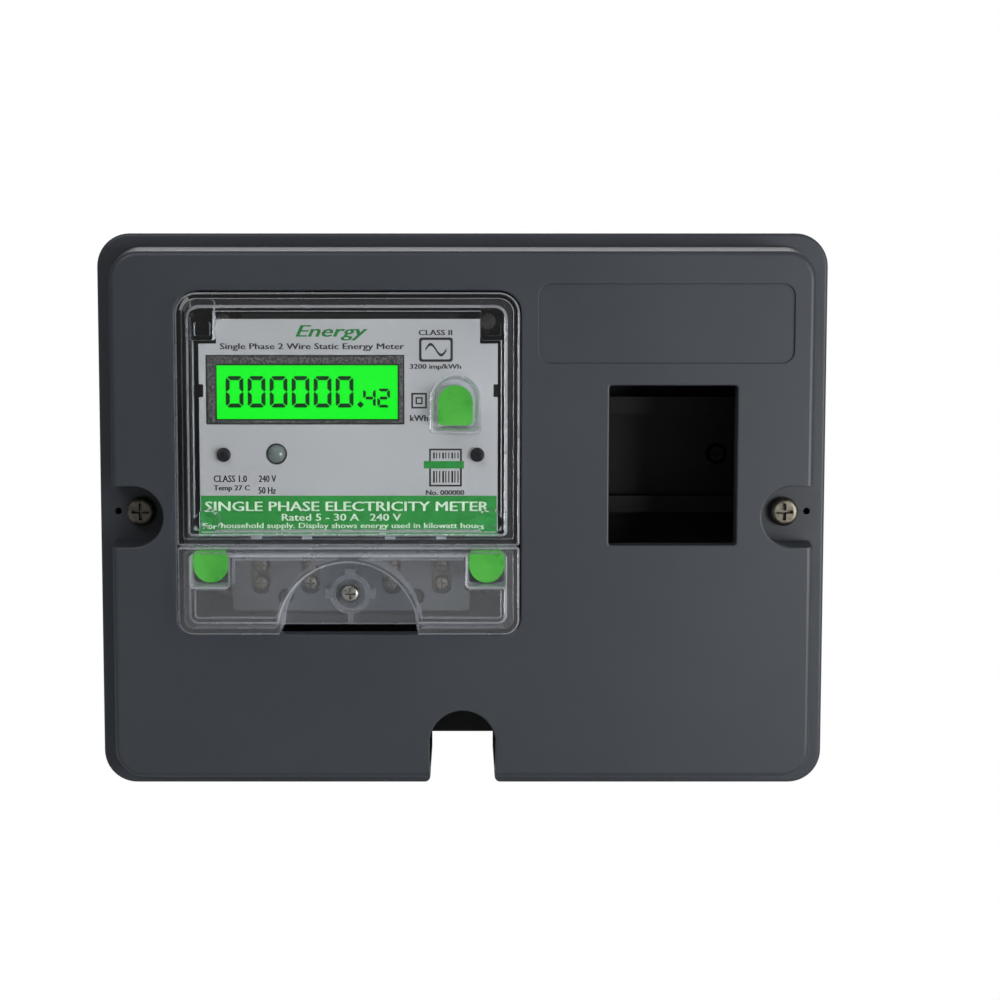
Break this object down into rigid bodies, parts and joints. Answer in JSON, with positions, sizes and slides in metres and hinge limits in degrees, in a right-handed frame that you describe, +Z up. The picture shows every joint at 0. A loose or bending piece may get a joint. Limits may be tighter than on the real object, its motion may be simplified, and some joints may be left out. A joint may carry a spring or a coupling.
{
  "type": "static electricity meter in a wall box",
  "caption": "Wall box with a lift-off front cover, a square electricity meter with a lit display behind clear covers, green snap seals and a windowed bay for a breaker.",
  "frame": {"origin": "centre of the flat back of the box, on the wall", "axes": "+X to the right seen from the front, +Y into the wall, +Z up"},
  "size_m": [0.21, 0.068, 0.16],
  "materials": {
    "box_plastic": "black moulded plastic, fine texture",
    "cover_plastic": "dark slate-grey moulded plastic, fine spark texture",
    "meter_plastic": "black moulded plastic",
    "display_plastic": "dark speckled plastic",
    "clear_plastic": "clear polycarbonate, polished",
    "block_plastic": "dark grey thermoset",
    "zinc_steel": "zinc-plated, bright",
    "black_steel": "blackened",
    "terminal_brass": "plated brass, slightly dull",
    "shunt_copper": "copper strip",
    "label_silver": "satin printed label plate",
    "seal_green": "green moulded plastic",
    "display_glass": "liquid crystal cell, lit green",
    "light_guide_plastic": "milky light guide",
    "lamp_clear": "smoky clear lens, polished",
    "board_mask": "black solder mask",
    "capacitor_yellow": "moulded box",
    "capacitor_blue": "sleeved can",
    "varistor_blue": "dipped disc",
    "chip_black": "moulded package"
  },
  "bodies": {
    "housing": {"base_box": "box_plastic", "cover_insert_left": "terminal_brass", "cover_insert_right": "terminal_brass", "breaker_rail": "box_plastic", "rail_screw_left": "black_steel", "rail_screw_right": "black_steel", "meter_body": "meter_plastic", "meter_screw_lower_left": "zinc_steel", "meter_screw_upper_left": "zinc_steel", "meter_screw_lower_right": "zinc_steel", "meter_screw_upper_right": "zinc_steel", "label_plate": "label_silver", "label_screw_left": "black_steel", "board_screw_left": "zinc_steel", "label_screw_right": "black_steel", "board_screw_right": "zinc_steel", "display_frame": "display_plastic", "lcd_glass": "display_glass", "light_guide": "light_guide_plastic", "pulse_led": "lamp_clear", "circuit_board": "board_mask", "supply_capacitor": "capacitor_yellow", "bulk_capacitor": "capacitor_blue", "surge_varistor": "varistor_blue", "metering_chip": "chip_black", "terminal_block": "block_plastic", "block_screw_left": "black_steel", "block_screw_right": "black_steel", "terminal_cover_insert": "terminal_brass", "terminal_1": "terminal_brass", "terminal_2": "terminal_brass", "terminal_3": "terminal_brass", "terminal_4": "terminal_brass", "phase_shunt": "shunt_copper", "neutral_link": "shunt_copper"},
    "box_front": {"front_cover": "cover_plastic"},
    "cover_screw_left_turn": {"cover_screw_left": "zinc_steel"},
    "cover_screw_right_turn": {"cover_screw_right": "zinc_steel"},
    "meter_window": {"meter_cover": "clear_plastic"},
    "terminal_lid": {"terminal_cover": "clear_plastic"},
    "terminal_cover_screw_turn": {"terminal_cover_screw": "zinc_steel"},
    "cover_seal_top_cap": {"cover_seal_top": "seal_green"},
    "cover_seal_left_cap": {"cover_seal_left": "seal_green"},
    "cover_seal_right_cap": {"cover_seal_right": "seal_green"},
    "clamp_screw_1_upper_turn": {"clamp_screw_1_upper": "terminal_brass"},
    "clamp_screw_1_lower_turn": {"clamp_screw_1_lower": "terminal_brass"},
    "clamp_screw_2_upper_turn": {"clamp_screw_2_upper": "terminal_brass"},
    "clamp_screw_2_lower_turn": {"clamp_screw_2_lower": "terminal_brass"},
    "clamp_screw_3_upper_turn": {"clamp_screw_3_upper": "terminal_brass"},
    "clamp_screw_3_lower_turn": {"clamp_screw_3_lower": "terminal_brass"},
    "clamp_screw_4_upper_turn": {"clamp_screw_4_upper": "terminal_brass"},
    "clamp_screw_4_lower_turn": {"clamp_screw_4_lower": "terminal_brass"}
  },
  "joints": [
    {"name": "front_cover_lift", "type": "slide", "parent": "housing", "child": "box_front", "axis": [0, -1, 0], "range_m": [0, 0.08]},
    {"name": "meter_cover_lift", "type": "slide", "parent": "housing", "child": "meter_window", "axis": [0, -1, 0], "range_m": [0, 0.04]},
    {"name": "terminal_cover_lift", "type": "slide", "parent": "housing", "child": "terminal_lid", "axis": [0, -1, 0], "range_m": [0, 0.04]},
    {"name": "seal_top_pull", "type": "slide", "parent": "meter_window", "child": "cover_seal_top_cap", "axis": [0, -1, 0], "range_m": [0, 0.012]},
    {"name": "seal_left_pull", "type": "slide", "parent": "terminal_lid", "child": "cover_seal_left_cap", "axis": [0, -1, 0], "range_m": [0, 0.012]},
    {"name": "seal_right_pull", "type": "slide", "parent": "terminal_lid", "child": "cover_seal_right_cap", "axis": [0, -1, 0], "range_m": [0, 0.012]},
    {"name": "cover_screw_left_turn", "type": "hinge", "parent": "box_front", "child": "cover_screw_left_turn", "pos_m": [-0.093, -0.044, 0], "axis": [0, -1, 0], "continuous": true},
    {"name": "cover_screw_right_turn", "type": "hinge", "parent": "box_front", "child": "cover_screw_right_turn", "pos_m": [0.093, -0.044, 0], "axis": [0, -1, 0], "continuous": true},
    {"name": "terminal_cover_screw_turn", "type": "hinge", "parent": "terminal_lid", "child": "terminal_cover_screw_turn", "pos_m": [-0.032, -0.054, -0.0225], "axis": [0, -1, 0], "continuous": true},
    {"name": "clamp_1_upper_turn", "type": "hinge", "parent": "housing", "child": "clamp_screw_1_upper_turn", "pos_m": [-0.058, -0.046, -0.0152], "axis": [0, -1, 0], "continuous": true},
    {"name": "clamp_1_lower_turn", "type": "hinge", "parent": "housing", "child": "clamp_screw_1_lower_turn", "pos_m": [-0.058, -0.046, -0.0204], "axis": [0, -1, 0], "continuous": true},
    {"name": "clamp_2_upper_turn", "type": "hinge", "parent": "housing", "child": "clamp_screw_2_upper_turn", "pos_m": [-0.0437, -0.046, -0.0152], "axis": [0, -1, 0], "continuous": true},
    {"name": "clamp_2_lower_turn", "type": "hinge", "parent": "housing", "child": "clamp_screw_2_lower_turn", "pos_m": [-0.0437, -0.046, -0.0204], "axis": [0, -1, 0], "continuous": true},
    {"name": "clamp_3_upper_turn", "type": "hinge", "parent": "housing", "child": "clamp_screw_3_upper_turn", "pos_m": [-0.0203, -0.046, -0.0152], "axis": [0, -1, 0], "continuous": true},
    {"name": "clamp_3_lower_turn", "type": "hinge", "parent": "housing", "child": "clamp_screw_3_lower_turn", "pos_m": [-0.0203, -0.046, -0.0204], "axis": [0, -1, 0], "continuous": true},
    {"name": "clamp_4_upper_turn", "type": "hinge", "parent": "housing", "child": "clamp_screw_4_upper_turn", "pos_m": [-0.006, -0.046, -0.0152], "axis": [0, -1, 0], "continuous": true},
    {"name": "clamp_4_lower_turn", "type": "hinge", "parent": "housing", "child": "clamp_screw_4_lower_turn", "pos_m": [-0.006, -0.046, -0.0204], "axis": [0, -1, 0], "continuous": true}
  ]
}
